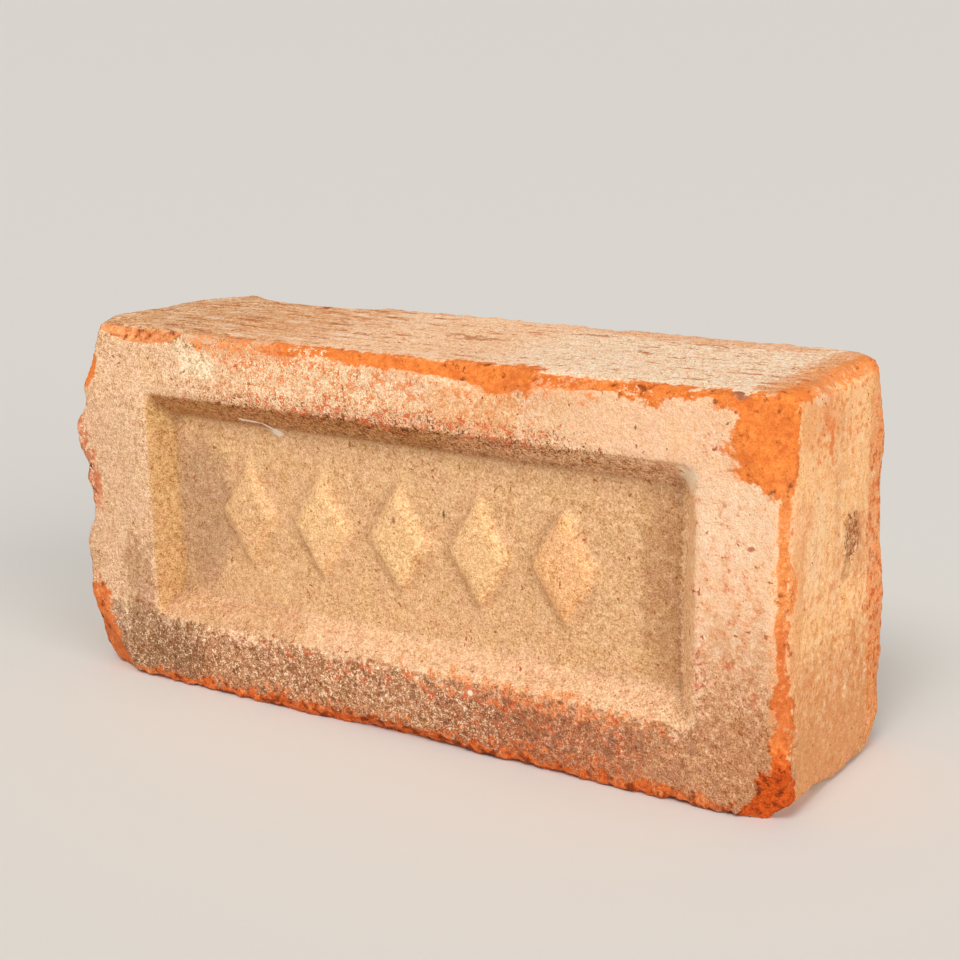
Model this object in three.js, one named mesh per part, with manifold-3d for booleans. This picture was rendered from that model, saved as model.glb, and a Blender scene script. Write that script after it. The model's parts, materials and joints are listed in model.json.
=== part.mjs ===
// A soft-mud clay brick with a tapered frog in one bed face, as it stands on its long narrow face.
// Millimetres. +X runs along the brick, +Z is up and the frog faces -Y. The origin is the middle of
// the footprint. It is one fired piece: a rounded block, less the frog and the places where knocks
// have broken its arrises (its edges) and corners, plus a row of worn lozenges raised in the frog.

import * as THREE from 'three';
import { mergeVertices } from 'three/addons/utils/BufferGeometryUtils.js';
import Module from 'manifold-3d';

// Block
const length = 203; // header to header, X
const thickness = 57; // bed to bed, Y
const height = 96; // the brick's width, upright as it stands, Z
const arrisRadius = 1.5; // every arris, from the mould and from handling
// Each corner of the bed's outline is worn rounder than the arrises, by this much more radius.
const topLeftWear = 2;
const topRightWear = 1.5;
const bottomRightWear = 0.5;
const bottomLeftWear = 5;

// Frog: the rim left round its mouth, its depth, and how far each wall leans in by the floor
const rimLeft = 22;
const rimRight = 22;
const rimTop = 16.5;
const rimBottom = 18.5;
const frogDepth = 7;
const leanLeft = 5;
const leanRight = 6.5;
const leanTop = 7;
const leanBottom = 7;
const frogCornerRadius = 1;

// Relief: lozenges with flat worn tops, in a row along the frog's floor
const lozengeCount = 5;
const lozengePitch = 23.5;
const lozengeWidth = 20; // at the foot, along X
const lozengeHeight = 31; // at the foot, along Z
const lozengeRaise = 2.4;
const lozengeFlat = 0.6; // the flat top's share of the foot, in both directions
const rowShift = -3; // the row's middle, from the middle of the frog's floor

// Damage: how far a break reaches from its corner along each arris, or over each face from an arris
const cornerBreak = 10;
const arrisBreak = 4;
const bowl = 1; // how far outside the block a break's centre lies, over its reach: less is deeper

// Facets and overlaps
const arcDivisions = 3; // half the facets in a quarter turn of an outline
const arrisSegments = 5;
const wallSegments = 7;
const shoulderSegments = 4;
const scoopDetail = 7; // subdivisions of the icosahedron that each break is cut with
const overrun = 1; // how far a cutter or a raised form runs past the face that it starts on

// Sides of the block, which everything below is placed from
const left = -length / 2;
const right = length / 2;
const front = -thickness / 2;
const back = thickness / 2;
const bottom = 0;
const top = height;

const wasm = await Module();
wasm.setup();

function solid(geometry) {
  geometry.deleteAttribute('normal');
  geometry.deleteAttribute('uv');
  const merged = mergeVertices(geometry);
  return new wasm.Manifold(new wasm.Mesh({
    numProp: 3,
    vertProperties: merged.attributes.position.array,
    triVerts: new Uint32Array(merged.index.array),
  }));
}

function geometryOf(manifold) {
  const mesh = manifold.getMesh();
  const geometry = new THREE.BufferGeometry();
  geometry.setAttribute('position', new THREE.BufferAttribute(mesh.vertProperties, 3));
  geometry.setIndex(new THREE.BufferAttribute(mesh.triVerts, 1));
  geometry.computeVertexNormals();
  return geometry;
}

// An upright rectangle with a quarter turn at each corner, anticlockwise from the lower left one.
function outline(x0, x1, z0, z1, radii) {
  const shape = new THREE.Shape();
  const quarter = Math.PI / 2;
  shape.moveTo(x0 + radii.bottomLeft, z0);
  shape.absarc(x1 - radii.bottomRight, z0 + radii.bottomRight, radii.bottomRight, -quarter, 0);
  shape.absarc(x1 - radii.topRight, z1 - radii.topRight, radii.topRight, 0, quarter);
  shape.absarc(x0 + radii.topLeft, z1 - radii.topLeft, radii.topLeft, quarter, 2 * quarter);
  shape.absarc(x0 + radii.bottomLeft, z0 + radii.bottomLeft, radii.bottomLeft, -2 * quarter, -quarter);
  return shape;
}

// Block: the bed's outline drawn through the thickness, with the arrises as its bevel.
function block() {
  const corners = {
    bottomLeft: arrisRadius + bottomLeftWear,
    bottomRight: arrisRadius + bottomRightWear,
    topRight: arrisRadius + topRightWear,
    topLeft: arrisRadius + topLeftWear,
  };
  const geometry = new THREE.ExtrudeGeometry(outline(left, right, bottom, top, corners), {
    depth: thickness - 2 * arrisRadius,
    bevelThickness: arrisRadius,
    bevelSize: arrisRadius,
    bevelOffset: -arrisRadius,
    bevelSegments: arrisSegments,
    curveSegments: arcDivisions,
  });
  geometry.rotateX(Math.PI / 2);
  geometry.translate(0, back - arrisRadius, 0);
  return solid(geometry);
}

// A closed solid through rings of equal count, each one further along +Y than the last.
function loft(rings) {
  const count = rings[0].length;
  const index = [];
  for (let ring = 0; ring < rings.length - 1; ring += 1) {
    for (let i = 0; i < count; i += 1) {
      const a = ring * count + i;
      const b = ring * count + (i + 1) % count;
      index.push(a, a + count, b);
      index.push(b, a + count, b + count);
    }
  }
  const cap = THREE.ShapeUtils.triangulateShape(rings[0].map((p) => new THREE.Vector2(p.x, p.z)), []);
  const last = (rings.length - 1) * count;
  for (const [a, b, c] of cap) {
    index.push(a, b, c);
    index.push(last + a, last + c, last + b);
  }
  const geometry = new THREE.BufferGeometry().setFromPoints(rings.flat());
  geometry.setIndex(index);
  return solid(geometry);
}

// Frog: each wall leans in by its own amount, and rolls over at the lip and into the floor.
const wallProfile = new THREE.CubicBezierCurve(
  new THREE.Vector2(0, 0),
  new THREE.Vector2(0.2, 0.05),
  new THREE.Vector2(0.8, 0.95),
  new THREE.Vector2(1, 1),
); // share of the lean against share of the depth

function frogRing(lean, y) {
  const radii = {
    bottomLeft: frogCornerRadius,
    bottomRight: frogCornerRadius,
    topRight: frogCornerRadius,
    topLeft: frogCornerRadius,
  };
  const shape = outline(
    left + rimLeft + lean * leanLeft,
    right - rimRight - lean * leanRight,
    bottom + rimBottom + lean * leanBottom,
    top - rimTop - lean * leanTop,
    radii,
  );
  return shape.getPoints(arcDivisions).slice(0, -1).map((p) => new THREE.Vector3(p.x, y, p.y));
}

function frog() {
  const walls = wallProfile.getPoints(wallSegments);
  const rings = walls.map((share) => frogRing(share.x, front + share.y * frogDepth));
  return loft([frogRing(0, front - overrun), ...rings]);
}

// Relief: a lozenge is a profile turned in four steps, from its flat top over a worn shoulder to
// its foot, which is set into the floor.
function lozenge(x, z) {
  const floor = front + frogDepth;
  const crown = floor - lozengeRaise;
  const shoulder = new THREE.QuadraticBezierCurve(
    new THREE.Vector2(lozengeFlat, crown),
    new THREE.Vector2((1 + lozengeFlat) / 2, crown),
    new THREE.Vector2(1, floor),
  );
  const profile = [new THREE.Vector2(0, crown), ...shoulder.getPoints(shoulderSegments)];
  profile.push(new THREE.Vector2(1, floor + overrun));
  profile.push(new THREE.Vector2(0, floor + overrun));
  const geometry = new THREE.LatheGeometry(profile, 4);
  geometry.scale(lozengeWidth / 2, 1, lozengeHeight / 2);
  geometry.translate(x, 0, z);
  return solid(geometry);
}

function relief() {
  const middleX = (left + rimLeft + leanLeft + right - rimRight - leanRight) / 2 + rowShift;
  const middleZ = (bottom + rimBottom + leanBottom + top - rimTop - leanTop) / 2;
  const row = [];
  for (let i = 0; i < lozengeCount; i += 1) {
    row.push(lozenge(middleX + (i - (lozengeCount - 1) / 2) * lozengePitch, middleZ));
  }
  return row.reduce((all, next) => all.add(next));
}

// A break: an ellipsoid centred outside the block, so that it leaves a shallow shell-shaped scar.
// into points into the block across each arris at the break, and is 0 along an arris that it runs on.
function scoop({ at, into, reach }) {
  const across = into.filter((sign) => sign !== 0).length;
  const radius = Math.hypot(1 + bowl, bowl * Math.sqrt(across - 1));
  const halfRun = Math.sqrt(1 + 2 * bowl); // of the unscaled scar, along an arris
  const geometry = new THREE.IcosahedronGeometry(radius, scoopDetail);
  geometry.scale(...reach.map((r, axis) => (into[axis] === 0 ? r / halfRun : r)));
  geometry.translate(...at.map((p, axis) => p - into[axis] * bowl * reach[axis]));
  return solid(geometry);
}

// Broken corners, in units of the corner break's reach
const cornerBreaks = [
  { at: [left, front, top], into: [1, 1, -1], reach: [0.75, 1.4, 1.7] },
  { at: [left, front, bottom], into: [1, 1, 1], reach: [1.3, 0.7, 1.8] },
  { at: [left, back, top], into: [1, -1, -1], reach: [1.2, 1.4, 0.45] },
  { at: [right, front, top], into: [-1, 1, -1], reach: [1.5, 0.4, 2.3] },
  { at: [right, front, bottom], into: [-1, 1, 1], reach: [1.2, 0.4, 1.5] },
  { at: [right, back, top], into: [-1, -1, -1], reach: [0.8, 0.8, 2.2] },
  { at: [right, back, bottom], into: [-1, -1, 1], reach: [0.4, 0.8, 0.9] },
].map(({ at, into, reach }) => ({ at, into, reach: reach.map((share) => share * cornerBreak) }));

// Broken stretches of arris, each at a share of the block's length, thickness or height and half as
// long as a share of it, with its reach over the two faces in units of the arris break's
const lengthwise = (share, y, z, run, overY, overZ) => ({
  at: [share * length, y, z],
  into: [0, -Math.sign(y), z === top ? -1 : 1],
  reach: [run * length, overY * arrisBreak, overZ * arrisBreak],
});
const crosswise = (x, share, z, run, overX, overZ) => ({
  at: [x, share * thickness, z],
  into: [-Math.sign(x), 0, z === top ? -1 : 1],
  reach: [overX * arrisBreak, run * thickness, overZ * arrisBreak],
});
const upright = (x, y, share, run, overX, overY) => ({
  at: [x, y, share * height],
  into: [-Math.sign(x), -Math.sign(y), 0],
  reach: [overX * arrisBreak, overY * arrisBreak, run * height],
});
const arrisBreaks = [
  lengthwise(-0.39, front, top, 0.08, 0.7, 1),
  lengthwise(0.12, front, top, 0.08, 0.9, 1.8),
  lengthwise(0.14, front, top, 0.32, 0.7, 0.9),
  lengthwise(-0.31, back, top, 0.13, 2, 0.5),
  lengthwise(-0.03, front, bottom, 0.15, 0.6, 0.9),
  crosswise(right, -0.4, bottom, 0.45, 1.3, 1),
  crosswise(right, 0.05, top, 0.35, 0.9, 0.7),
  upright(right, front, 0.48, 0.5, 0.9, 0.55),
  upright(right, back, 0.6, 0.26, 0.5, 0.6),
  upright(left, front, 0.49, 0.09, 0.5, 0.7),
];

const broken = [...cornerBreaks, ...arrisBreaks].map(scoop).reduce((all, next) => all.add(next));
const body = block().subtract(frog()).add(relief()).subtract(broken);

const firedClay = new THREE.MeshStandardMaterial({ color: 0xe8b183, roughness: 0.95, metalness: 0 });
const brick = new THREE.Mesh(geometryOf(body), firedClay);
brick.name = 'brick';

const group = new THREE.Group();
group.add(brick);

export default group;
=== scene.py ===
import json
import math

import bpy
import numpy as np
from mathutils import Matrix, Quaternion, Vector


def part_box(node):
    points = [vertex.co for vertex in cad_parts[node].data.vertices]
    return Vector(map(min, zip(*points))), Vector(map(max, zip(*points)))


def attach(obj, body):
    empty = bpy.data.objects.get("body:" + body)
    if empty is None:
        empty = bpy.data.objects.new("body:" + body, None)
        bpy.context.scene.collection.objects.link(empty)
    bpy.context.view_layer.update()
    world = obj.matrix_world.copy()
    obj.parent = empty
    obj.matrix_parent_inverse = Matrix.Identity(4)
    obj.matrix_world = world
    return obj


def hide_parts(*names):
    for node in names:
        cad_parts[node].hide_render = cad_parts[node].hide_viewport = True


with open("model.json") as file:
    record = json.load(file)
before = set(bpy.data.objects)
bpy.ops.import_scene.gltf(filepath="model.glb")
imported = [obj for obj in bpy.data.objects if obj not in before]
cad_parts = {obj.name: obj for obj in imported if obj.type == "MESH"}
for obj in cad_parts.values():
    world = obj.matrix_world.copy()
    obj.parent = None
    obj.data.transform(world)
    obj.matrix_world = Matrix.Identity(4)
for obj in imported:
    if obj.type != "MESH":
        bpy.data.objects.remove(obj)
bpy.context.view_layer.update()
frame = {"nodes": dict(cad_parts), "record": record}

# ---------------------------------------------------------------------------------------------
# The brick: soft clay thrown into a sanded mould with a raised frog die on its bottom board,
# struck off, turned out to dry and fired. Knocks have since broken its arrises and corners, so it
# is worked up from a copy of the moulded block: remeshed, worn, pitted and pushed out of true.
# ---------------------------------------------------------------------------------------------
mm = 0.001
facet = 0.885 * mm  # keeps the whole skin under 200,000 triangles
arris_reach = 6 * mm  # how far from an arris the handling wear fades out
low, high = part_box("brick")
left, right, front, back = low.x / mm, high.x / mm, low.y / mm, high.y / mm
top = high.z / mm


def only(piece):
    """Makes one piece the whole selection, because an operator acts on all that is selected."""
    bpy.ops.object.select_all(action="DESELECT")
    piece.select_set(True)
    bpy.context.view_layer.objects.active = piece


def finish_with(piece, kind, **settings):
    """Adds a modifier to a piece and applies it."""
    modifier = piece.modifiers.new(kind.title(), kind)
    for name, value in settings.items():
        setattr(modifier, name, value)
    only(piece)
    bpy.ops.object.modifier_apply(modifier=modifier.name)


def places(piece):
    """A piece's points, as one row of X, Y, Z for each."""
    found = np.empty(len(piece.data.vertices) * 3, np.float32)
    piece.data.vertices.foreach_get("co", found)
    return found.reshape(-1, 3).astype(float)


def smooth(value, start, end):
    """0 at start to 1 at end, easing in and out."""
    share = np.clip((value - start) / (end - start), 0, 1)
    return share * share * (3 - 2 * share)


def turned(piece):
    """A piece's normals, as one row of X, Y, Z for each point."""
    found = np.empty(len(piece.data.vertices) * 3, np.float32)
    piece.data.vertex_normals.foreach_get("vector", found)
    return found.reshape(-1, 3).astype(float)


def evened(piece, values, times):
    """A column or columns of values at a piece's points, each drawn halfway to the mean of the points
    around it, this many times over."""
    ends = np.empty(len(piece.data.edges) * 2, np.int64)
    piece.data.edges.foreach_get("vertices", ends)
    ends = ends.reshape(-1, 2)
    near = np.bincount(ends.ravel(), minlength=len(values))
    even = values.reshape(len(values), -1).astype(float)
    for _ in range(times):
        for column in even.T:
            gathered = np.bincount(ends[:, 0], column[ends[:, 1]], len(column))
            gathered += np.bincount(ends[:, 1], column[ends[:, 0]], len(column))
            column += (gathered / near - column) / 2
    return even.reshape(values.shape)


def group(piece, name, weights):
    """A vertex group that holds each point at its own weight."""
    made = piece.vertex_groups.new(name=name)
    for index in np.flatnonzero(weights > 0.01):
        made.add([int(index)], float(weights[index]), "REPLACE")


def roughen(piece, where, depth, size, level=0.5, detail=2):
    """Pushes the points of a group in and out along their normals by a cloudy pattern of lumps of
    this size. A level of 1 only wears them away, and 0.5 raises as much as it sinks."""
    lumps = bpy.data.textures.new(where + "_lumps", "CLOUDS")
    lumps.noise_scale = size
    lumps.noise_depth = detail
    finish_with(piece, "DISPLACE", texture=lumps, texture_coords="LOCAL", vertex_group=where,
                strength=depth, mid_level=level)


def depths(at):
    """How deep each point lies under the unworn block's nearest face, and under the next one, which
    is about how far it is from an arris."""
    middle, half = np.array((low + high) / 2), np.array((high - low) / 2)
    under = np.sort(half - np.abs(at - middle), axis=1)
    return under[:, 0], under[:, 1]


brick = bpy.data.objects.new("fired_brick", frame["nodes"]["brick"].data.copy())
bpy.context.scene.collection.objects.link(brick)
only(brick)

# The block comes as loose triangles, so they are merged before they are remeshed.
bpy.ops.object.mode_set(mode="EDIT")
bpy.ops.mesh.select_all(action="SELECT")
bpy.ops.mesh.remove_doubles(threshold=0.001 * mm)
bpy.ops.object.mode_set(mode="OBJECT")
finish_with(brick, "REMESH", mode="VOXEL", voxel_size=facet, adaptivity=0)

# The frog and its parts, by how far a point lies outside the clear box that the record gives its
# opening. Sand and wear left all its edges soft, and each of its walls turns to its own side.
mouth = 4.5 * mm  # where its lip is
frog_edge = 6 * mm  # takes in the lip
worn_edge = 9 * mm  # where the rim round it is sharp again
wall_foot = -4.5 * mm  # the walls end within the box
floor_edge = -3 * mm  # where the floor begins to be flat
floor_slack = 4 * mm  # the floor lies less than this behind the box
below_rim = 0.35 * mm  # the rim's plane is left out
frog_low, frog_high = (Vector(p) for p in frame["record"]["physics"]["openings"][0]["box_m"])
at = places(brick)
under, from_arris = depths(at)
beyond = np.maximum(np.maximum(frog_low.x - at[:, 0], at[:, 0] - frog_high.x),
                    np.maximum(frog_low.z - at[:, 2], at[:, 2] - frog_high.z))
facing = at[:, 1] < frog_high.y + floor_slack
pressed = (facing * (1 - smooth(beyond, frog_edge, worn_edge)))[:, None]
at += (evened(brick, at, 3) - at) * pressed
brick.data.vertices.foreach_set("co", at.astype(np.float32).ravel())
brick.data.update()
in_frog = facing & (beyond < frog_edge) & (at[:, 1] > low.y + below_rim)
on_wall = in_frog & (beyond > wall_foot)
on_floor = facing & (beyond < floor_edge)
floor_y = at[on_floor, 1].max()
towards = evened(brick, turned(brick), 1)
parts = {
    "in_frog": in_frog.astype(float),
    "top_wall": on_wall * smooth(-towards[:, 2], 0.3, 0.55),
    "bottom_wall": on_wall * smooth(towards[:, 2], 0.2, 0.55),
    "left_wall": on_wall * smooth(towards[:, 0], 0.3, 0.5),
    "right_wall": on_wall * smooth(-towards[:, 0], 0.3, 0.5),
    "raised": on_floor * smooth(floor_y - at[:, 1], 0.8 * mm, 1.8 * mm),
}
parts = {name: evened(brick, values, 4) for name, values in parts.items()}

# Wear of each kind has its own part of the block: the arrises, the frog's lip, the frog, the flat
# skin, the foot of the front, and the left end's front arris, which chipped most at mid-height.
near_arris = 1 - smooth(from_arris, 0, arris_reach)
group(brick, "arris", near_arris)
group(brick, "lip", facing * (under < 2 * mm) * (1 - smooth(np.abs(beyond - mouth), 0, 3 * mm)))
group(brick, "frog", in_frog.astype(float))
group(brick, "skin", smooth(from_arris, 0.5 * arris_reach, arris_reach))
group(brick, "foot", ~in_frog * (at[:, 1] < -15 * mm) * (1 - smooth(at[:, 2], 0, 7 * mm)))
chipped = smooth(at[:, 2], 36 * mm, 42 * mm) * (1 - smooth(at[:, 2], 68 * mm, 74 * mm))
group(brick, "chipped", (at[:, 0] < -90 * mm) * (at[:, 1] < 0) * chipped * near_arris)
roughen(brick, "arris", depth=1.3 * mm, size=8 * mm, level=0.65)
roughen(brick, "arris", depth=0.9 * mm, size=2.4 * mm, level=0.6)
roughen(brick, "foot", depth=2 * mm, size=3 * mm, level=0.5)
roughen(brick, "chipped", depth=2.2 * mm, size=3.2 * mm, level=0.4)
roughen(brick, "lip", depth=0.6 * mm, size=1.8 * mm, level=0.6)
roughen(brick, "frog", depth=0.5 * mm, size=7 * mm)
roughen(brick, "skin", depth=0.35 * mm, size=2.2 * mm)

# How much of the block is gone at each point, in millimetres, bares the red body under the skin. The
# frog wasn't lost, so it and its lip count as 0. How hollow the surface is darkens it with dust and
# painted shade: how far the points around, evened out over a few millimetres, stand above it.
at = places(brick)
under, from_arris = depths(at)
parts["lost"] = ~(facing & (beyond < 7 * mm)) * under / mm
parts["hollow"] = np.sum((evened(brick, at, 24) - at) * turned(brick), axis=1) / mm

# The sides drew and slumped out of true as the clay dried, the left end in bulges.
group(brick, "headers", smooth(np.abs(at[:, 0]), 80 * mm, 100 * mm))
group(brick, "all", np.ones(len(at)))
roughen(brick, "headers", depth=1.6 * mm, size=24 * mm, detail=1)
roughen(brick, "all", depth=1.0 * mm, size=48 * mm, detail=1)
at = places(brick)
for height, reach, bulge in (
    # height of the bulge's middle, half its height, how far it stands out
    (6, 10, 2.4),
    (29, 12, 3),
    (51, 6, 1),
    (65, 7, 3.3),
):
    swell = bulge * mm * np.exp(-((at[:, 2] / mm - height) / reach) ** 4)
    at[:, 0] -= swell * smooth(-at[:, 0], 88 * mm, 100 * mm)

# Nothing hangs below the ground that it stands on.
at[:, 2] = np.maximum(at[:, 2], 0)
brick.data.vertices.foreach_set("co", at.astype(np.float32).ravel())
brick.data.update()
only(brick)
bpy.ops.object.shade_smooth()


def linear(hex_colour):
    """A colour written as sRGB hex, as the linear colour that a socket takes."""
    channels = [int(hex_colour[i:i + 2], 16) / 255 for i in (1, 3, 5)]
    return [c / 12.92 if c <= 0.04045 else ((c + 0.055) / 1.055) ** 2.4 for c in channels] + [1]


# Fired clay: porous, dull, with no gloss. The sand that kept it from sticking to the mould is burnt
# on as a pale, gritty skin, and where that is knocked off the smoother red body shows.
clay = bpy.data.materials.new("sand_struck_fired_clay")
clay.use_nodes = True
tree = clay.node_tree
tree.nodes.clear()


def add(kind, inputs, out=0, **settings):
    """Adds a node with its settings, and gives one of its outputs. Each input is a value, or another
    node's output to link it to."""
    made = tree.nodes.new("ShaderNode" + kind)
    for name, value in settings.items():
        setattr(made, name, value)
    for socket, value in inputs.items():
        if isinstance(value, bpy.types.NodeSocket):
            tree.links.new(value, made.inputs[socket])
        else:
            made.inputs[socket].default_value = value
    return made.outputs[out] if made.outputs else None


# A Math or VectorMath node's inputs go by their number, in the order of the sum. So do a Mix node's
# sockets for colours, which lays a coat over a base by some amount.
by, base, coat, mixed = 0, 6, 7, 2

# Places in millimetres, and soft noises of these sizes: grains of moulding sand, grit, lumps,
# blotches and clouds. The sand is really 0.1 to 0.4 mm, drawn at the coarse end of that so that it shows.
place = add("VectorMath", {0: add("TexCoord", {}, "Object"), "Scale": 1 / mm}, operation="SCALE")
fine_hue = add("TexNoise", {"Vector": place, "Scale": 1 / 0.42, "Detail": 1, "Roughness": 0.7}, "Color")
grit_hue = add("TexNoise", {"Vector": place, "Scale": 1 / 1.1, "Detail": 2}, "Color")
lump_hue = add("TexNoise", {"Vector": place, "Scale": 1 / 2.6, "Detail": 2}, "Color")
blotch_hue = add("TexNoise", {"Vector": place, "Scale": 1 / 6, "Detail": 3}, "Color")
cloud = add("TexNoise", {"Vector": place, "Scale": 1 / 26, "Detail": 2})


def painted(name, values):
    """Stores a value at each of the brick's points, and gives it as a node's output."""
    layer = brick.data.attributes.new(name, "FLOAT", "POINT")
    layer.data.foreach_set("value", values.astype(np.float32))
    return add("Attribute", {}, "Fac", attribute_name=name)


def within(centre, reach, fade):
    """1 at the brick's points in a rounded box about a place in millimetres, and 0 outside it. It fades
    over an outer share of its reach."""
    apart = np.sum(((at / mm - centre) / reach) ** 4, axis=1)
    return smooth(apart, 1, (1 - fade) ** 4)


def painted_sum(name, rows):
    """The sum of such boxes, from rows of share, centre, reach and fade, painted on. It takes one
    node, however many rows there are."""
    return painted(name, sum(share * within(centre, reach, fade) for share, centre, reach, fade in rows))


painted_part = {name: painted(name, values) for name, values in parts.items()}

# Places that stray by a few millimetres, so that what is drawn on them has ragged edges
strayed = place
for hue, stray in ((blotch_hue, 9), (lump_hue, 4), (grit_hue, 2)):
    off = add("VectorMath", {0: hue, 1: (0.5, 0.5, 0.5)}, operation="SUBTRACT")
    strayed = add("VectorMath", {0: off, 1: (stray, stray, stray), 2: strayed}, operation="MULTIPLY_ADD")


def side_by_side(*axes):
    """The three finest noises in one vector, each by the channel of its colour that this axis names."""
    vector = (0, 0, 0)
    for hue, axis in zip((fine_hue, grit_hue, lump_hue), axes):
        channel = [float(axis == i) for i in range(3)]
        vector = add("VectorMath", {0: hue, 1: channel, 2: vector}, operation="MULTIPLY_ADD")
    return vector, axes


# The grains that shade the clay, and others that don't follow them, for sand of another colour
grains = side_by_side(0, 1, 2)
strewn = side_by_side(1, 2, 0)


def by_channel(axes, *shares):
    """Shares of the fine, grit and lump noises, in the order of the channels that they are in."""
    return [share for _, share in sorted(zip(axes, shares))]


def uneven(fine_share, grit_share, lump_share):
    """The three finest noises in these shares, about 0."""
    vector, axes = grains
    shares = by_channel(axes, fine_share, grit_share, lump_share)
    total = add("VectorMath", {0: vector, 1: shares}, "Value", operation="DOT_PRODUCT")
    return add("Math", {0: total, 1: sum(shares) / 2}, operation="SUBTRACT")


frayed = uneven(0, 1, 0.5)
fray = 3  # how far that shifts an edge that is all grainy


def patch(centre, reach, fade=0.5, grainy=0.0, share=1, on=strayed, box=True):
    """This share in a rounded box or an ellipsoid about a place in millimetres, and 0 outside it. It
    fades over an outer share of its reach, and the fading part breaks up into grains."""
    shrink = [1 / r for r in reach]
    shift = [-c / r for c, r in zip(centre, reach)]
    spot = add("VectorMath", {0: on, 1: shrink, 2: shift}, operation="MULTIPLY_ADD")
    if box:  # fourth powers in place of squares
        spot = add("VectorMath", {0: spot, 1: spot}, operation="MULTIPLY")
    apart = add("VectorMath", {0: spot, 1: spot}, "Value", operation="DOT_PRODUCT")
    if grainy:
        apart = add("Math", {0: frayed, 1: fray * grainy, 2: apart}, operation="MULTIPLY_ADD")
    inner = (1 - fade) ** (4 if box else 2)
    return add("MapRange", {"Value": apart, "From Min": 1, "From Max": inner, "To Max": share},
               interpolation_type="SMOOTHSTEP")


def stain(below, colour, pattern, start, end, share=1):
    """Lays this share of a colour over another as a pattern passes from start to end."""
    amount = add("MapRange", {"Value": pattern, "From Min": start, "From Max": end, "To Max": share},
                 interpolation_type="SMOOTHSTEP")
    return add("Mix", {by: amount, base: below, coat: linear(colour)}, mixed, data_type="RGBA")


def shaded(colour, tone, redden=0.3):
    """A colour made lighter or darker by this share of itself, redder as it darkens."""
    strongest = 1 + redden
    strengths = [(1 - redden) / strongest, 1 / strongest, 1]
    share = add("Math", {0: tone, 1: 0.5 * strongest, 2: 0.5}, operation="MULTIPLY_ADD")
    darkest, lightest = [1 - s for s in strengths] + [1], [1 + s for s in strengths] + [1]
    factor = add("Mix", {by: share, base: darkest, coat: lightest}, mixed, data_type="RGBA")
    return add("Mix", {by: 1.0, base: colour, coat: factor}, mixed, data_type="RGBA", blend_type="MULTIPLY")


bare, solid = 0.48, 0.65  # how far over its mean a noise begins to show and is whole, at a cover of 0


def covered(cover, fine_share, grit_share, lump_share, of=grains, share=1):
    """This share in grains and flakes of these noises, which cover more as the first value grows. A
    noise with a negative share shows where it is low, between the grains of one with a positive share."""
    vector, axes = of
    shares = by_channel(axes, fine_share, grit_share, lump_share)
    total = add("VectorMath", {0: vector, 1: shares}, "Value", operation="DOT_PRODUCT")
    total = add("Math", {0: total, 1: cover})
    start, end = sum(shares) / 2 + bare, sum(shares) / 2 + solid
    return add("MapRange", {"Value": total, "From Min": start, "From Max": end, "To Max": share},
               interpolation_type="SMOOTHSTEP")


# The skin's colour, as the sand and the fire left it, with some painted light and shade
skin = add("Mix", {by: cloud, base: linear("#ECB88C"), coat: linear("#FED3AA")}, mixed, data_type="RGBA")
tints = [
    # colour, centre, reach, share that fades, share
    ("#FDD0A8", (20, 0, top), (150, 50, 3), 0.6, 1.0),  # top face
    # Paler to the right: partly the skin's colour, partly painted light
    ("#FFE6C8", (62, 0, top), (48, 40, 3), 0.7, 0.8),
    ("#EE9E60", (101, 0, top), (12.5, 40, 3), 0.8, 0.9),
    ("#F0B080", (56, 26, top), (40, 9, 3), 0.7, 0.75),
    # Darker to the left: partly the skin's colour, partly painted shade
    ("#E1A472", (-95, 0, top), (75, 50, 3), 0.8, 0.9),  # top face, left
    ("#FFC78D", (right, 0, 60), (3, 60, 70), 0.6, 1.0),  # right end
    # Darker low down: partly the fire's colour, partly painted shade
    ("#DA9762", (right, 0, 0), (3, 60, 42), 0.8, 0.9),  # right end, low down
    ("#E5955C", (right, 27, 50), (3, 12, 60), 0.5, 0.9),  # right end, far side
    ("#EBA672", (right, -23, 54), (3, 6, 24), 0.7, 0.65),
    ("#E0A070", (right, -1, 62), (3, 3, 34), 0.8, 0.4),
    ("#F2A266", (right, -12, 90), (3, 14, 8), 0.8, 0.6),
    ("#FFD2A2", (right, -13, 62), (3, 7, 12), 0.8, 0.6),
    ("#DC8C56", (right, 12, 54), (3, 4.5, 9), 0.8, 0.6),
    # Darker and greyer to the left: partly the skin's colour, partly painted shade
    ("#E8BA92", (-95, front, 48), (22, 5, 34), 0.7, 0.9),  # left rim
    ("#BE8E68", (-85, front, 27), (6, 4, 14), 0.7, 0.7),
    # Paler to the right: partly the skin's colour, partly painted light
    ("#FFCDA4", (78, front, 70), (32, 5, 40), 0.7, 0.9),  # right rim
    ("#FFDDBC", (86, front, 68), (12, 5, 10), 0.8, 0.5),
    ("#F0A468", (23, front, 85.5), (14, 5, 7), 0.8, 0.6),
    ("#FFE0B8", (-60.5, front, 88.5), (8, 5, 5.5), 0.4, 0.9),
    # The rim below the frog and the lower corners: the fire's darker colour, with painted shade low down
    ("#C0865F", (20, front, 0), (120, 6, 20.5), 0.2, 1.0),  # rim below the frog
    ("#AE6A48", (38, front, 8), (33, 6, 14), 0.8, 0.7),
    ("#DAA278", (92, front, 2), (14, 6, 52), 0.8, 0.8),
    ("#C68A60", (92, front, 0), (14, 6, 32), 0.8, 0.9),
    ("#A07352", (-84, front, 6), (24, 6, 17), 0.6, 0.8),  # grey corner
]
for colour, centre, reach, fade, share in tints:
    laid = patch(centre, reach, fade, 0.3, share)
    skin = add("Mix", {by: laid, base: skin, coat: linear(colour)}, mixed, data_type="RGBA")
everywhere = ((0, front, 48), (110, 12, 60), 0.1)
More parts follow.
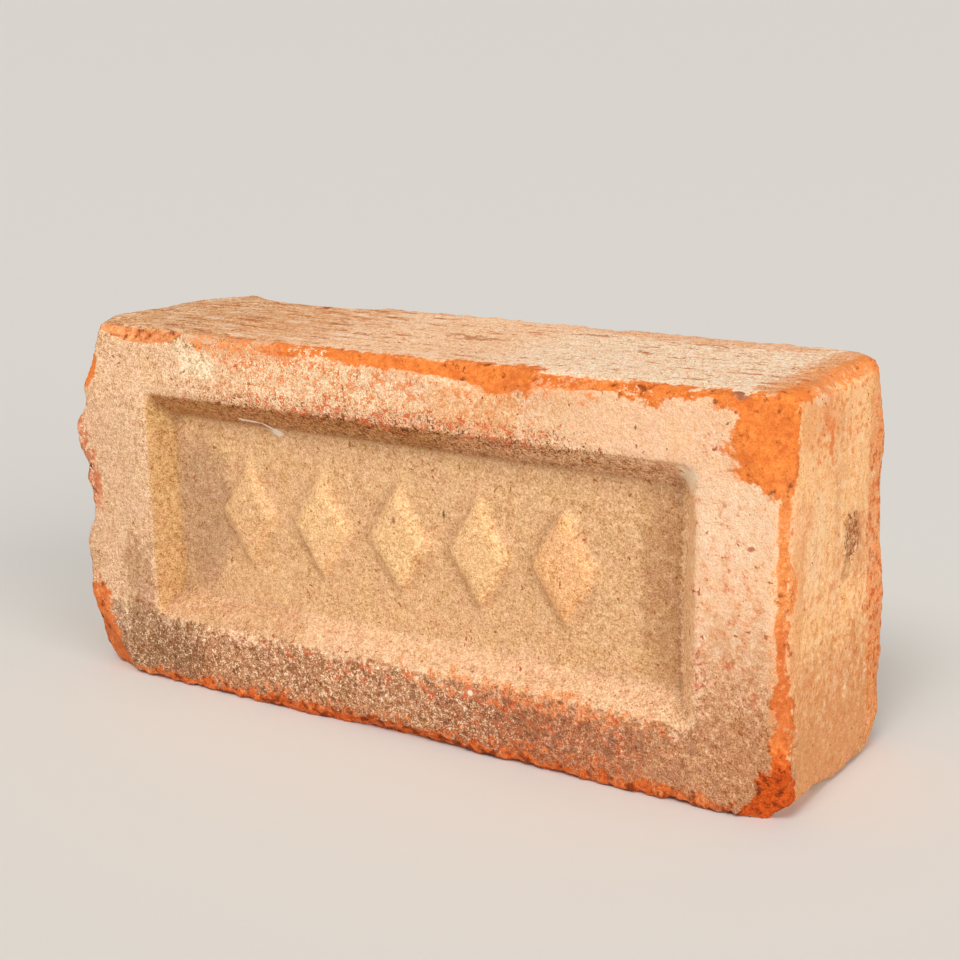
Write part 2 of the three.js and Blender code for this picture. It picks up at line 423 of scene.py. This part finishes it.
frog_tints = [
    # colour, the part of the frog, centre, reach, share that fades, share
    ("#E8B786", "in_frog", *everywhere, 1.0),
    ("#C39771", "in_frog", (-70, front, 46), (14, 12, 26), 0.7, 0.9),
    # Painted shadow: the floor's right part, beside the right wall, is laid darker
    ("#CD996C", "in_frog", (73, front, 48), (12, 12, 30), 0.9, 1.0),
    ("#ECBB90", "bottom_wall", *everywhere, 1.0),
    ("#D8A67A", "bottom_wall", (-70, front, 22), (45, 12, 12), 0.8, 0.9),
    ("#D1A16C", "left_wall", *everywhere, 1.0),
    # Painted light: the right wall, which the lamps barely reach, is laid paler
    ("#F5C291", "right_wall", *everywhere, 1.0),
    # Painted shade: the top wall, under the frog's upper lip, is laid darker, less so to the right
    ("#C88E5C", "top_wall", *everywhere, 1.0),
    ("#E8B488", "top_wall", (75, front, 77), (70, 12, 12), 0.8, 0.9),
    # Painted shade, darkest along the top wall's foot where it meets the floor
    ("#8E6242", "top_wall", (0, -21, 72), (75, 3.6, 4.5), 0.7, 0.3),  # along its foot
    ("#FCCB92", "raised", *everywhere, 0.7),
    ("#E2AE7E", "raised", (-51, front, 48), (14, 12, 26), 0.4, 0.6),
    ("#F9B982", "raised", (43, front, 48), (14, 12, 26), 0.4, 0.7),
]
for colour, name, centre, reach, fade, share in frog_tints:
    ragged = add("Math", {0: frayed, 1: painted_part[name]})
    laid = add("MapRange", {"Value": ragged, "From Min": 0.15, "From Max": 0.85},
               interpolation_type="SMOOTHSTEP")
    laid = add("Math", {0: laid, 1: patch(centre, reach, fade, share=share)}, operation="MULTIPLY")
    skin = add("Mix", {by: laid, base: skin, coat: linear(colour)}, mixed, data_type="RGBA")
outside = add("Math", {0: 1, 1: painted_part["in_frog"]}, operation="SUBTRACT")

# Each channel strays a little by itself, which turns the skin here pinker and there more yellow.
for hue, share in ((lump_hue, 0.08), (blotch_hue, 0.12)):
    skin = add("Mix", {by: share, base: skin, coat: hue}, mixed, data_type="RGBA", blend_type="SOFT_LIGHT")

# The fire and the clay's iron flushed the skin orange in soft blotches.
flushed = painted_sum("flushed", [
    # cover, centre, reach, share that fades
    (0.12, (0, 0, 60), (110, 40, 60), 0.1),
    (0.14, (55, front, 86), (35, 5, 10), 0.7),
    (0.15, (92, front, 60), (8, 5, 40), 0.7),
    (0.22, (10, 0, top), (95, 40, 3), 0.4),
    (0.42, (right, 24, 60), (3, 9, 50), 0.6),
    (0.30, (right, -8, 88), (3, 24, 12), 0.7),
    (0.22, (0, back, 46), (108, 6, 47), 0.2),
    (0.09, (-50, back, 36), (60, 6, 36), 0.95),
    (0.11, (48, back, 56), (62, 6, 38), 0.95),
    (0.16, (left, 2, 48), (6, 24, 46), 0.3),
    (0.20, (left, 8, 30), (6, 16, 20), 0.8),
])
flushed = add("Math", {0: flushed, 1: outside}, operation="MULTIPLY")
laid = covered(flushed, 0.5, 0.9, 1.0, share=0.7)
skin = add("Mix", {by: laid, base: skin, coat: linear("#F2955C")}, mixed, data_type="RGBA")
laid = covered(flushed, -0.5, -0.9, -1.0, share=0.4)
skin = add("Mix", {by: laid, base: skin, coat: linear("#FFE6C4")}, mixed, data_type="RGBA")

# Dust and painted shade darken the hollows.
skin = stain(skin, "#8E6040", painted_part["hollow"], 0.12, 0.8, 0.5)

# Some places are sown with grains of another colour. The smallest of them don't stray.
smallest_strayed = 12
sown = [
    # colour, share, cover, centre, reach, share that fades, noises, whether it is outside the frog only
    ("#FFE9C0", 0.70, 0.50, (-23, front, 87), (31, 5, 9), 0.5, (1.5, 1.1, 0.4), False),  # rim over the frog
    ("#FFE3B8", 0.45, 0.44, (10, front, 86), (40, 5, 9), 0.6, (1.5, 1.1, 0.4), False),
    ("#F5853F", 0.80, 0.50, (-34, front, 92), (30, 6, 5), 0.5, (-1.5, -0.9, -0.7), False),
    ("#F08A50", 0.75, 0.46, (-20, front, 85), (36, 5, 9), 0.6, (-1.5, -1.0, -0.8), False),
    ("#F29256", 0.60, 0.48, (16, front, 87), (36, 5, 9), 0.6, (-0.7, -0.8, -1.2), False),
    ("#D8663A", 0.75, 0.48, (-6, front, 80.5), (72, 6, 4), 0.7, (-0.9, -0.9, -1.1), False),
    ("#8E3A1A", 0.75, 0.36, (-8, front, 80), (80, 6, 4), 0.7, (0.9, 1.5, 0.6), False),
    ("#8A4A28", 0.75, 0.46, (-10, -27, 78.5), (72, 4, 3), 0.6, (1.3, 1.4, 0.5), False),  # its top wall
    ("#5A3A22", 0.62, 0.33, (0, -25, 76.5), (84, 4.5, 4), 0.5, (1.6, 1.3, 0.4), False),
    ("#DCA674", 0.60, 0.34, (0, -25, 76), (84, 4.5, 5), 0.5, (-1.6, -1.3, -0.4), False),
    ("#6E4A2E", 0.42, 0.42, (56, -25.5, 76.5), (34, 4.5, 4), 0.6, (1.3, 1.4, 0.5), False),
    ("#FFE3BC", 0.74, 0.42, (-15, front, 9), (62, 7, 13), 0.5, (1.5, 1.1, 0.2), True),  # rim below it
    ("#FFE3BC", 0.78, 0.32, (-80, front, 9), (30, 7, 14), 0.5, (1.7, 0.8, 0.2), True),
    ("#F0C094", 0.55, 0.42, (66, front, 9), (38, 7, 14), 0.5, (1.2, 1.1, 0.9), True),
    ("#7C4E32", 0.65, 0.42, (-10, front, 8), (90, 7, 12), 0.5, (-0.8, -0.9, -1.1), True),
    ("#A87870", 0.25, 0.36, (40, front, 8), (60, 7, 12), 0.5, (-0.3, 0.5, -1.5), True),
    ("#EE9E68", 0.85, 0.58, (36, front, 17.6), (46, 6, 3.2), 0.5, (-0.5, -0.7, 1.4), False),  # its fringe
    ("#D9683C", 0.70, 0.44, (20, front, 16.5), (80, 7, 5), 0.6, (-0.5, -0.7, 1.4), True),
    ("#D2683F", 0.60, 0.44, (47, front, 8), (38, 7, 10), 0.6, (-0.4, -0.8, 1.3), True),
    ("#C9583A", 0.75, 0.50, (80.5, front, 32), (2.5, 4, 15), 0.7, (0.5, 0.9, 0.9), True),  # right lip
    ("#5E4432", 0.60, 0.36, (-84, front, 8), (24, 6, 13), 0.5, (-1.2, -1.2, 0.5), True),  # grey corner
    ("#D07838", 0.70, 0.37, (30, 0, top), (100, 30, 3), 0.5, (1.5, 1.0, 0.6), False),  # top face
    ("#E0803C", 0.65, 0.37, (right, 0, 60), (3, 28, 50), 0.5, (1.5, 1.0, 0.6), False),  # right end
    ("#FFE4BE", 0.30, 0.42, (88, front, 62), (16, 5, 34), 0.5, (-0.6, -1.0, -1.4), False),  # right rim
    ("#EFA070", 0.35, 0.42, (84, front, 50), (14, 5, 32), 0.5, (0.3, 0.5, 1.9), False),
    ("#D87A40", 0.50, 0.31, (90, front, 62), (14, 4, 38), 0.5, (0.9, 1.2, 0.9), False),
    ("#D07848", 0.20, 0.46, (right, 0, 24), (3, 26, 44), 0.5, (0.1, 0.5, 1.9), False),  # right end
    ("#FFE0B8", 0.22, 0.46, (right, 0, 50), (3, 24, 44), 0.5, (-0.1, -0.5, -1.9), False),
    ("#7A4020", 0.85, 0.52, (right, 6.8, 58), (3, 5, 7), 0.8, (1.5, 1.2, 0.4), False),  # its smudge
    ("#FFE2C0", 0.60, 0.44, (right, 6.2, 56.5), (3, 5, 6), 0.8, (-1.5, -1.2, -0.4), False),
    ("#CC602E", 0.80, 0.45, (right, 24, 50), (3, 9, 50), 0.7, (0.4, 1.0, 1.6), False),  # its far side
    ("#EE8A4C", 0.70, 0.42, (right, 0, 88), (3, 26, 12), 0.7, (0.4, 1.0, 1.6), False),
]
for colour, share, cover, centre, reach, fade, noises, rim_only in sown:
    on = strayed if max(reach) > smallest_strayed else place
    cover = patch(centre, reach, fade, share=cover, on=on)
    if rim_only:
        cover = add("Math", {0: cover, 1: outside}, operation="MULTIPLY")
    laid = covered(cover, *noises, strewn, share)
    skin = add("Mix", {by: laid, base: skin, coat: linear(colour)}, mixed, data_type="RGBA")

# Sand grains: each part of the skin shades lighter and darker from grain to grain.
spread = 1.1 + 0.55 * parts["raised"]
for value, centre, reach, fade in (
    # how far grains differ, centre, reach, share that fades
    (1.7, (-80, 0, top), (45, 50, 4), 0.6),
    (0.42, (90, front, 66), (18, 5, 36), 0.5),
    (0.95, (-96, front, 58), (12, 5, 28), 0.5),
    (0.75, (20, front, 88), (70, 5, 9), 0.5),
    (0.5, (70, front, 87), (24, 5, 10), 0.5),
    (0.6, (right, -4, 52), (4, 26, 62), 0.3),
    (1.2, (right, 24, 52), (4, 8, 60), 0.5),
    (1.1, (40, front, 8), (70, 6, 12), 0.4),
    (1.35, (-60, front, 8), (60, 6, 12), 0.4),
    (0.95, (0, front + 6, 48), (80, 9, 33), 0.2),
    (0.85, (0, back, 46), (108, 6, 47), 0.2),
    (0.85, (left, 2, 48), (6, 24, 46), 0.3),
    (1.7, (0, -25, 77), (84, 4.5, 4.5), 0.3),
):
    spread = spread + within(centre, reach, fade) * (value - spread)
tone = add("Math", {0: uneven(1.9, 1.1, 0.6), 1: painted("spread", spread)}, operation="MULTIPLY")
palest = painted_sum("palest", [
    # share, centre, reach, share that fades: where the dark grains are the orange body, bared
    (0.7, (25, 0, top), (100, 40, 4), 0.5),
    (0.7, (right, 0, 55), (4, 40, 55), 0.4),
    (0.8, (90, front, 66), (22, 5, 36), 0.5),
    (0.6, (10, front, 88), (75, 5, 9), 0.5),
    (0.6, (0, back, 46), (108, 6, 47), 0.2),
    (0.6, (left, 2, 48), (6, 24, 46), 0.3),
])
bared = add("Math", {0: palest, 1: add("Math", {0: tone, 1: 0}, operation="MINIMUM")}, operation="MULTIPLY")
skin = shaded(skin, add("Math", {0: tone, 1: bared}, operation="SUBTRACT"))
skin = shaded(skin, bared, 0.9)

# Streaks that the strike and the mould board dragged along the top face and down the right end
along = add("VectorMath", {0: place, 1: (1 / 11, 1 / 2.4, 1 / 3)}, operation="MULTIPLY")
down = add("VectorMath", {0: place, 1: (1 / 3, 1 / 2.4, 1 / 16)}, operation="MULTIPLY")
along = add("TexNoise", {"Vector": along, "Scale": 1, "Detail": 3, "Roughness": 0.6})
down = add("TexNoise", {"Vector": down, "Scale": 1, "Detail": 3, "Roughness": 0.6})
dragged = [
    # streaks, the face they are on, then for each tint: start, end, share, colour
    (along, ((-58, 0, top), (58, 40, 2.5)),
     ((0.50, 0.70, 0.4, "#BC8452"), (0.50, 0.30, 0.6, "#FFE8CC"), (0.58, 0.65, 0.7, "#B8602A"))),
    (along, ((50, 0, top), (64, 40, 2.5)),
     ((0.50, 0.75, 0.3, "#C48C60"), (0.50, 0.25, 0.4, "#FFEBCF"), (0.62, 0.67, 0.8, "#D0682A"))),
    (down, ((right, 0, 76), (2.5, 40, 32)),
     ((0.50, 0.80, 0.35, "#D98E5C"), (0.50, 0.25, 0.3, "#FFE2BA"))),
]
for streaks, (centre, reach), drawn_tints in dragged:
    there = patch(centre, reach, 0.3)
    for start, end, share, tint in drawn_tints:
        amount = add("MapRange", {"Value": streaks, "From Min": start, "From Max": end, "To Max": share},
                     interpolation_type="SMOOTHSTEP")
        amount = add("Math", {0: amount, 1: there}, operation="MULTIPLY")
        skin = add("Mix", {by: amount, base: skin, coat: linear(tint)}, mixed, data_type="RGBA")

# Marks: a dark smudge and orange streaks on the right end, strokes on the top face, iron spots here and
# there, small holes painted dark as their shade, a white pebble, and a thread of root caught under the
# frog's upper lip
marks = [
    # colour, share, centre, reach, share that fades, grainy
    ("#A55827", 0.50, (right, 6.8, 57.5), (3, 6.5, 7.5), 0.8, 0.4),
    ("#A86A40", 0.50, (right, 4.7, 52), (3, 2, 4.5), 0.8, 0.5),
    ("#EE8A50", 0.80, (right, -8.6, 89), (3, 3, 8), 0.8, 0.4),
    ("#E97F45", 0.85, (right, -5.4, 82), (3, 2.2, 8), 0.8, 0.3),
    ("#FCD0A4", 0.70, (right, -12, 94), (3, 5, 2.6), 0.8, 0.4),
    ("#C47C48", 0.80, (3.5, 1.5, top), (11, 3, 3), 0.6, 0.5),
    ("#C2703C", 0.80, (28.7, 15.4, top), (7, 1.6, 3), 0.6, 0.4),
    ("#C2703C", 0.80, (49, 3.2, top), (6, 1.2, 3), 0.6, 0.4),
    ("#C2703C", 0.80, (61, 16.6, top), (8, 1.5, 3), 0.6, 0.4),
    ("#C2703C", 0.80, (59.6, 0.6, top), (4, 1.2, 3), 0.6, 0.4),
    ("#9A4A22", 0.80, (-24, -7, top), (3, 0.8, 3), 0.6, 0.2),
    ("#B2481F", 0.90, (-55.5, 19, top), (2.4, 3, 3), 0.5, 0.3),
    ("#C4573A", 0.65, (right, 17.8, 47), (3, 1.4, 1.8), 0.7, 0.3),
    ("#C4573A", 0.65, (right, 14.9, 38.7), (3, 1.3, 1.6), 0.7, 0.3),
    ("#C4573A", 0.65, (right, 10.9, 28.2), (3, 1.2, 1.5), 0.7, 0.3),
    ("#C8603C", 0.60, (88, front, 36), (3.4, 3, 3), 0.8, 0.8),
    ("#C8603C", 0.50, (94, front, 29), (3, 3, 2.6), 0.8, 0.8),
]
small_marks = [
    # the same, and a tilt in degrees, down to the right
    ("#D0684A", 0.60, (51, front, 56.6), (1.7, 3, 1.7), 0.8, 0.6, 0),
    ("#B4502E", 0.80, (92.7, front, 62.7), (1.1, 3, 0.9), 0.6, 0.9, 0),
    ("#A85A38", 0.60, (86.5, front, 71.3), (0.6, 3, 0.6), 0.6, 0.6, 0),
    ("#E8703C", 0.60, (84.8, front, 84), (2.4, 3, 0.9), 0.8, 0.9, 0),
    ("#7A3418", 0.75, (99.3, front, 69.1), (0.8, 3, 0.8), 0.6, 0.6, 0),
    # A painted highlight on the frog's upper right corner, where the surface turns down into shade
    ("#FFE2C0", 0.95, (77.2, -26.5, 76.3), (4.2, 5, 4.2), 0.8, 0.6, 0),
    ("#55280F", 0.90, (9.2, -23, 57), (0.6, 3, 1.7), 0.6, 0.1, 0),
    ("#8C4A2C", 0.75, (-4, -23, 54.4), (0.8, 3, 1.4), 0.6, 0.1, 0),
    ("#8C4A2C", 0.80, (13.1, front, 29.4), (1.1, 5, 0.5), 0.6, 0.1, 0),
    ("#8C4A2C", 0.80, (26.3, front, 31), (1.1, 5, 0.5), 0.6, 0.1, 0),
    ("#8C4A2C", 0.80, (45.3, front, 18.4), (1.3, 5, 0.5), 0.6, 0.1, 0),
    ("#E8895A", 0.70, (20.2, front, 15.9), (2.6, 3, 1.8), 0.7, 0.5, 0),
    ("#FFF4E0", 0.90, (20.2, front, 15.9), (0.9, 3, 0.9), 0.4, 0, 0),
    ("#FFF0DC", 0.95, (-51, -24, 74.3), (1, 12, 0.6), 0.5, 0, 8),
    ("#FFF0DC", 0.95, (-48.2, -24, 74.1), (4, 12, 0.42), 0.6, 0, 4),
    ("#FFF0DC", 0.95, (-43.4, -24, 73.1), (2.9, 12, 0.42), 0.6, 0, 25),
    ("#FFF0DC", 0.80, (-41, -22, 71.7), (2.4, 12, 1.2), 0.9, 0.6, 8),
]
for colour, share, centre, reach, fade, grainy in marks:
    laid = patch(centre, reach, fade, grainy, share, box=False)
    skin = add("Mix", {by: laid, base: skin, coat: linear(colour)}, mixed, data_type="RGBA")
for colour, share, centre, reach, fade, grainy, tilt in small_marks:
    on = place
    if tilt:
        turn = (0, math.radians(tilt), 0)
        on = add("Mapping", {"Vector": place, "Location": centre, "Rotation": turn}, vector_type="TEXTURE")
        centre = (0, 0, 0)
    laid = patch(centre, reach, fade, grainy, share, on, box=False)
    skin = add("Mix", {by: laid, base: skin, coat: linear(colour)}, mixed, data_type="RGBA")

# Specks of iron, one in each cell of 3.6 mm and up to 0.6 mm in radius
specks = add("TexVoronoi", {"Vector": strayed, "Scale": 1 / 3.6}, "Distance")
speck_size = add("SeparateColor", {0: specks.node.outputs["Color"]})
speck = add("Math", {0: speck_size, 1: 0.15, 2: 0.02}, operation="MULTIPLY_ADD")
speck = add("Math", {0: specks, 1: speck}, operation="LESS_THAN")
skin = stain(skin, "#A8501F", speck, 0, 1, 0.8)

# The body under the skin is smoother and redder, with darker fire marks, scratches, and pits painted as dark
# spots of shade.
blotch = blotch_hue.node.outputs["Fac"]
body = add("Mix", {by: blotch, base: linear("#E67A38"), coat: linear("#FF9444")}, mixed, data_type="RGBA")
body_tints = [
    # colour, centre, reach, share that fades, share
    ("#EE9A62", (-82, front, 94), (20, 5, 6), 0.4, 0.9),  # top left corner
    ("#F09A5A", (right, front, 58), (5, 5, 24), 0.5, 0.7),  # right arris, high up
    ("#D85C1E", (98, front, 2), (16, 12, 16), 0.3, 1.0),  # bottom right corner
    ("#D6743C", (right, front, 32), (6, 6, 18), 0.6, 0.9),
    ("#DE7038", (0, front, 0), (96, 8, 8), 0.3, 0.9),  # bottom arris
    ("#DC9470", (-100, front, 54), (10, 14, 22), 0.6, 0.9),
    ("#E07C44", (-100, front, 14), (10, 14, 22), 0.5, 0.9),  # left end, low down
]
for colour, centre, reach, fade, share in body_tints:
    laid = patch(centre, reach, fade, 0.2, share)
    body = add("Mix", {by: laid, base: body, coat: linear(colour)}, mixed, data_type="RGBA")
crumbly = painted_sum("crumbly", [
    # share, centre, reach, share that fades
    (1, (0, front, 0), (102, 7, 6), 0.4),
    (0.6, (-103, front, 30), (6, 12, 40), 0.3),
    (0.7, (-80, front, 94), (20, 6, 6), 0.3),
    (0.5, (98, front, 2), (16, 12, 14), 0.4),
])
body_tone = add("Math", {0: uneven(0.9, 0.8, 0.6), 1: add("Math", {0: crumbly, 1: 1})}, operation="MULTIPLY")
body = shaded(body, body_tone, 0.4)
lump_parts = add("SeparateColor", {0: lump_hue})
body = stain(body, "#CC5A2A", lump_parts.node.outputs[1], 0.5, 0.68, 0.4)
# Painted shade in the crevices of the crumbled foot, where its lumps sink
crumbled_crevice_shade = add("Math", {0: crumbly, 1: 0.12, 2: lump_parts}, operation="MULTIPLY_ADD")
body = stain(body, "#7A2E10", crumbled_crevice_shade, 0.6, 0.74, 0.8)
# Its hollows are darker too, with dust and painted shade
body = stain(body, "#7A3012", painted_part["hollow"], 0.25, 0.7, 0.4)
scored = add("VectorMath", {0: strayed, 1: (1 / 3.2, 1 / 1.1, 1 / 0.8)}, operation="MULTIPLY")
scratch = add("TexNoise", {"Vector": scored, "Scale": 1, "Detail": 1})
scored = patch((98, front, 2), (16, 12, 14), 0.4)
scored = add("Math", {0: scored, 1: 0.18, 2: scratch}, operation="MULTIPLY_ADD")
body = stain(body, "#6E2C12", scored, 0.68, 0.9, 0.8)

# Pits, one in each cell of 2.6 mm and up to 0.4 mm in radius, painted dark as their shade
pits = add("TexVoronoi", {"Vector": strayed, "Scale": 1 / 2.6}, "Distance")
pit_size = add("SeparateColor", {0: pits.node.outputs["Color"]})
pit_size = add("Math", {0: pit_size, 1: 0.17}, operation="MULTIPLY")
pit = add("Math", {0: pits, 1: pit_size}, operation="LESS_THAN")
body = stain(body, "#8A3C14", pit, 0, 1, 0.5)
for colour, share, centre, reach in (
    # colour, share, centre, reach
    ("#6A4A3C", 0.8, (101.3, front, 77.7), (0.9, 3, 1.4)),
    ("#7A3818", 0.8, (84.1, front, 94), (0.8, 3, 0.8)),
    ("#7A3818", 0.8, (56.6, front, 95.5), (1, 3, 1)),
    ("#8E6450", 0.8, (89.4, -26.5, 95.6), (2.6, 2.5, 1.2)),
    ("#5E2A14", 0.8, (95.3, front, 7.4), (1.1, 3, 1.1)),
    ("#5E2A14", 0.8, (100.4, front, 7.6), (1, 3, 1)),
):
    laid = patch(centre, reach, 0.7, 0.5, share, place, box=False)
    body = add("Mix", {by: laid, base: body, coat: linear(colour)}, mixed, data_type="RGBA")

# Where the skin is gone: quite, where the arrises and corners broke, save for the skin that clings on
spared = painted_sum("spared", [
    # millimetres more that have to be lost, centre, reach, share that fades
    (0.9, (-48, front, top), (18, 5, 5), 0.3),
    (3, (-80, -20.5, 96.6), (22, 5.4, 2.8), 0.3),
    (1.2, (17, front, 88.8), (9.5, 6, 4.2), 0.4),
    (1.8, (right, 2, top), (6, 25, 7), 0.3),
    (1.2, (right, 0, 0), (8, 26, 8), 0.3),
    (0.45, (right, front, 36), (8, 8, 24), 0.4),
    (0.6, (91, front, 9), (4, 5, 6), 0.5),
])
thinned, worn_through = 0.45, 0.7  # millimetres lost at which the skin begins to go, and is gone
gone = add("Math", {0: painted_part["lost"], 1: spared}, operation="SUBTRACT")
ragged = add("Math", {0: uneven(0.4, 0.7, 1.1), 1: gone})
broken = add("MapRange", {"Value": ragged, "From Min": thinned, "From Max": worn_through},
             interpolation_type="SMOOTHSTEP")
breaks = [
    # centre, reach, share that fades, grainy, whether it is a box
    ((101, front, 91), (14, 5, 18.5), 0.15, 0.25, False),  # top right corner
    ((101, front, 4), (7, 6, 9.8), 0.15, 0.3, False),  # bottom right corner
    ((97.5, front, 83.5), (10.8, 5, 8), 0.15, 0.25, True),
    ((right, front, 45), (2.2, 2.8, 34), 0.35, 0.35, True),  # right arris
    ((right, -26.5, 54), (2, 4, 5), 0.35, 0.35, True),
    ((right, front, 25.5), (2.7, 4.8, 4), 0.3, 0.35, True),
    ((right, front, 17), (3.3, 2.8, 6), 0.3, 0.35, True),
    ((0, front, 0), (101, 4, 3.6), 0.3, 0.5, True),  # bottom arris
    ((-103, front, 18), (7, 8, 9), 0.3, 0.3, True),  # left end, low down
    ((-100, front, 6), (7, 8, 9), 0.3, 0.3, True),
    ((-100.5, front, 52.5), (4.2, 8, 8.5), 0.3, 0.5, True),
    ((-104, front, 66), (3.8, 8, 7), 0.3, 0.5, True),
    ((-101, front, 84.5), (4.6, 8, 5), 0.3, 0.3, True),
    ((-79, -28.6, 95.2), (15, 2.4, 1.9), 0.2, 0.35, True),  # top arris, left
    ((-12, front, top), (27, 5, 2.8), 0.3, 0.4, True),  # middle
    ((20, front, top), (10, 7, 3.8), 0.3, 0.4, True),
    ((33, front, top), (6.5, 8, 6.2), 0.3, 0.5, True),
    ((66, front, top), (6, 4.6, 4.6), 0.3, 0.5, True),  # right
    ((76, front, top), (18, 3.8, 2.3), 0.3, 0.4, True),
    ((89, front, top), (6, 4.6, 4.6), 0.3, 0.4, True),
    ((100, -22, top), (4.5, 9, 2.5), 0.35, 0.4, True),
]
for centre, reach, fade, grainy, box in breaks:
    broken = add("Math", {0: broken, 1: patch(centre, reach, fade, grainy, box=box)}, operation="MAXIMUM")
clinging = painted_sum("clinging", [
    # cover, centre, reach, share that fades
    (0.35, (right, front, 58), (6, 6, 18), 0.5),
    (0.36, (right, front, 33), (6, 6, 8), 0.5),
    (0.45, (-25, front, 95), (8, 5, 4), 0.5),
    (0.38, (64, front, 93), (7, 4, 3), 0.5),
    (0.45, (46, front, 94), (13, 4, 6), 0.5),
    (0.30, (0, front, 0), (104, 4, 6), 0.5),
    (0.45, (-104, front, 60), (6, 12, 26), 0.4),
])
let_go = add("Math", {0: 1, 1: covered(clinging, 0.9, 1.1, 0.8)}, operation="SUBTRACT")
broken = add("Math", {0: broken, 1: let_go}, operation="MULTIPLY")

# ... and in flakes and grains, where it has only been rubbed
rubbed = painted_sum("rubbed", [
    # cover, centre, reach, share that fades
    (0.50, (-48, front, 95), (20, 4, 5), 0.5),  # left part of the top arris
    (0.45, (46, front, 94), (14, 4, 6), 0.5),  # right part of it
    (0.45, (0, front, 2), (104, 3, 6), 0.6),  # bottom arris
    (0.35, (100, front, 45), (4, 5, 36), 0.6),  # right arris
    (0.25, (right, 24, 50), (4, 8, 60), 0.7),  # right end, far side
    (0.36, (right, 0, top), (6, 40, 5), 0.8),
    (0.30, (97, 0, top), (7, 40, 3), 0.8),
    (0.45, (0, back, top), (110, 3, 2), 0.6),
])
flakes = covered(rubbed, 0.9, 1.1, 1.0)
no_skin = add("Math", {0: flakes, 1: 0.85}, operation="MULTIPLY")
no_skin = add("Math", {0: broken, 1: no_skin}, operation="MAXIMUM")
colour = add("Mix", {by: no_skin, base: skin, coat: body}, mixed, data_type="RGBA")

# Grains stand up a little from the skin, and less from the smoother body.
relief = fine_hue.node.outputs["Fac"]
for hue, share in ((grit_hue, 0.9), (lump_hue, 0.6)):
    relief = add("Math", {0: hue.node.outputs["Fac"], 1: share, 2: relief}, operation="MULTIPLY_ADD")
strength = add("Math", {0: broken, 1: -0.4, 2: 0.8}, operation="MULTIPLY_ADD")
strength = add("Math", {0: crumbly, 1: 0.4, 2: strength}, operation="MULTIPLY_ADD")
bump = add("Bump", {"Height": relief, "Strength": strength, "Distance": 0.3 * mm})
shader = add("BsdfPrincipled", {
    "Base Color": colour, "Roughness": 0.92, "Normal": bump, "Specular IOR Level": 0.12,
})
add("OutputMaterial", {"Surface": shader})

brick.data.materials.clear()
brick.data.materials.append(clay)
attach(brick, "root")
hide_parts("brick")

# ---------------------------------------------------------------------------------------------
# The set: a pale floor that runs out of sight, a broad soft key from the upper right and an even
# surround
# ---------------------------------------------------------------------------------------------
bpy.ops.mesh.primitive_plane_add(size=90)
floor = bpy.context.object
floor.name = "floor"

# Matt paint, which shows no gloss, only the brick's soft shadow
paint = bpy.data.materials.new("pale_floor_paint")
paint.use_nodes = True
paint.node_tree.nodes["Principled BSDF"].inputs["Base Color"].default_value = linear("#E4E0DA")
paint.node_tree.nodes["Principled BSDF"].inputs["Roughness"].default_value = 0.8
floor.data.materials.append(paint)


def far_lamp(name, towards, strength, width):
    """A lamp this way from the brick, too far off to fall away, and as wide as this in degrees."""
    lamp = bpy.data.lights.new(name, "SUN")
    lamp.energy = strength
    lamp.angle = math.radians(width)
    stand = bpy.data.objects.new(name, lamp)
    stand.rotation_euler = Vector(towards).to_track_quat("Z", "Y").to_euler()
    bpy.context.scene.collection.objects.link(stand)


far_lamp("key", (0.12, -0.6, 0.78), 1.5, 25)
far_lamp("side", (0.85, -0.35, 0.4), 1.3, 40)

world = bpy.data.worlds.new("studio")
world.use_nodes = True
world.node_tree.nodes["Background"].inputs["Color"].default_value = linear("#F4F2EE")
world.node_tree.nodes["Background"].inputs["Strength"].default_value = 0.42
bpy.context.scene.world = world
bpy.context.scene.view_settings.view_transform = "Standard"

# Camera: a long lens at the brick's right, a little above it, that leans by a degree
aim = Vector((24.4, -28.5, 69.3)) * mm
distance = 433.2 * mm
azimuth, elevation, roll = math.radians(33.34), math.radians(15.02), math.radians(-1.23)
away = Vector((math.sin(azimuth) * math.cos(elevation), -math.cos(azimuth) * math.cos(elevation),
               math.sin(elevation)))
lens = bpy.data.cameras.new("camera")
lens.lens = 70.33
lens.sensor_width = 36
lens.clip_start = 0.01
camera = bpy.data.objects.new("camera", lens)
camera.location = aim + away * distance
camera.rotation_mode = "QUATERNION"
camera.rotation_quaternion = (-away).to_track_quat("-Z", "Y") @ Quaternion((0, 0, 1), roll)
bpy.context.scene.collection.objects.link(camera)
bpy.context.scene.camera = camera
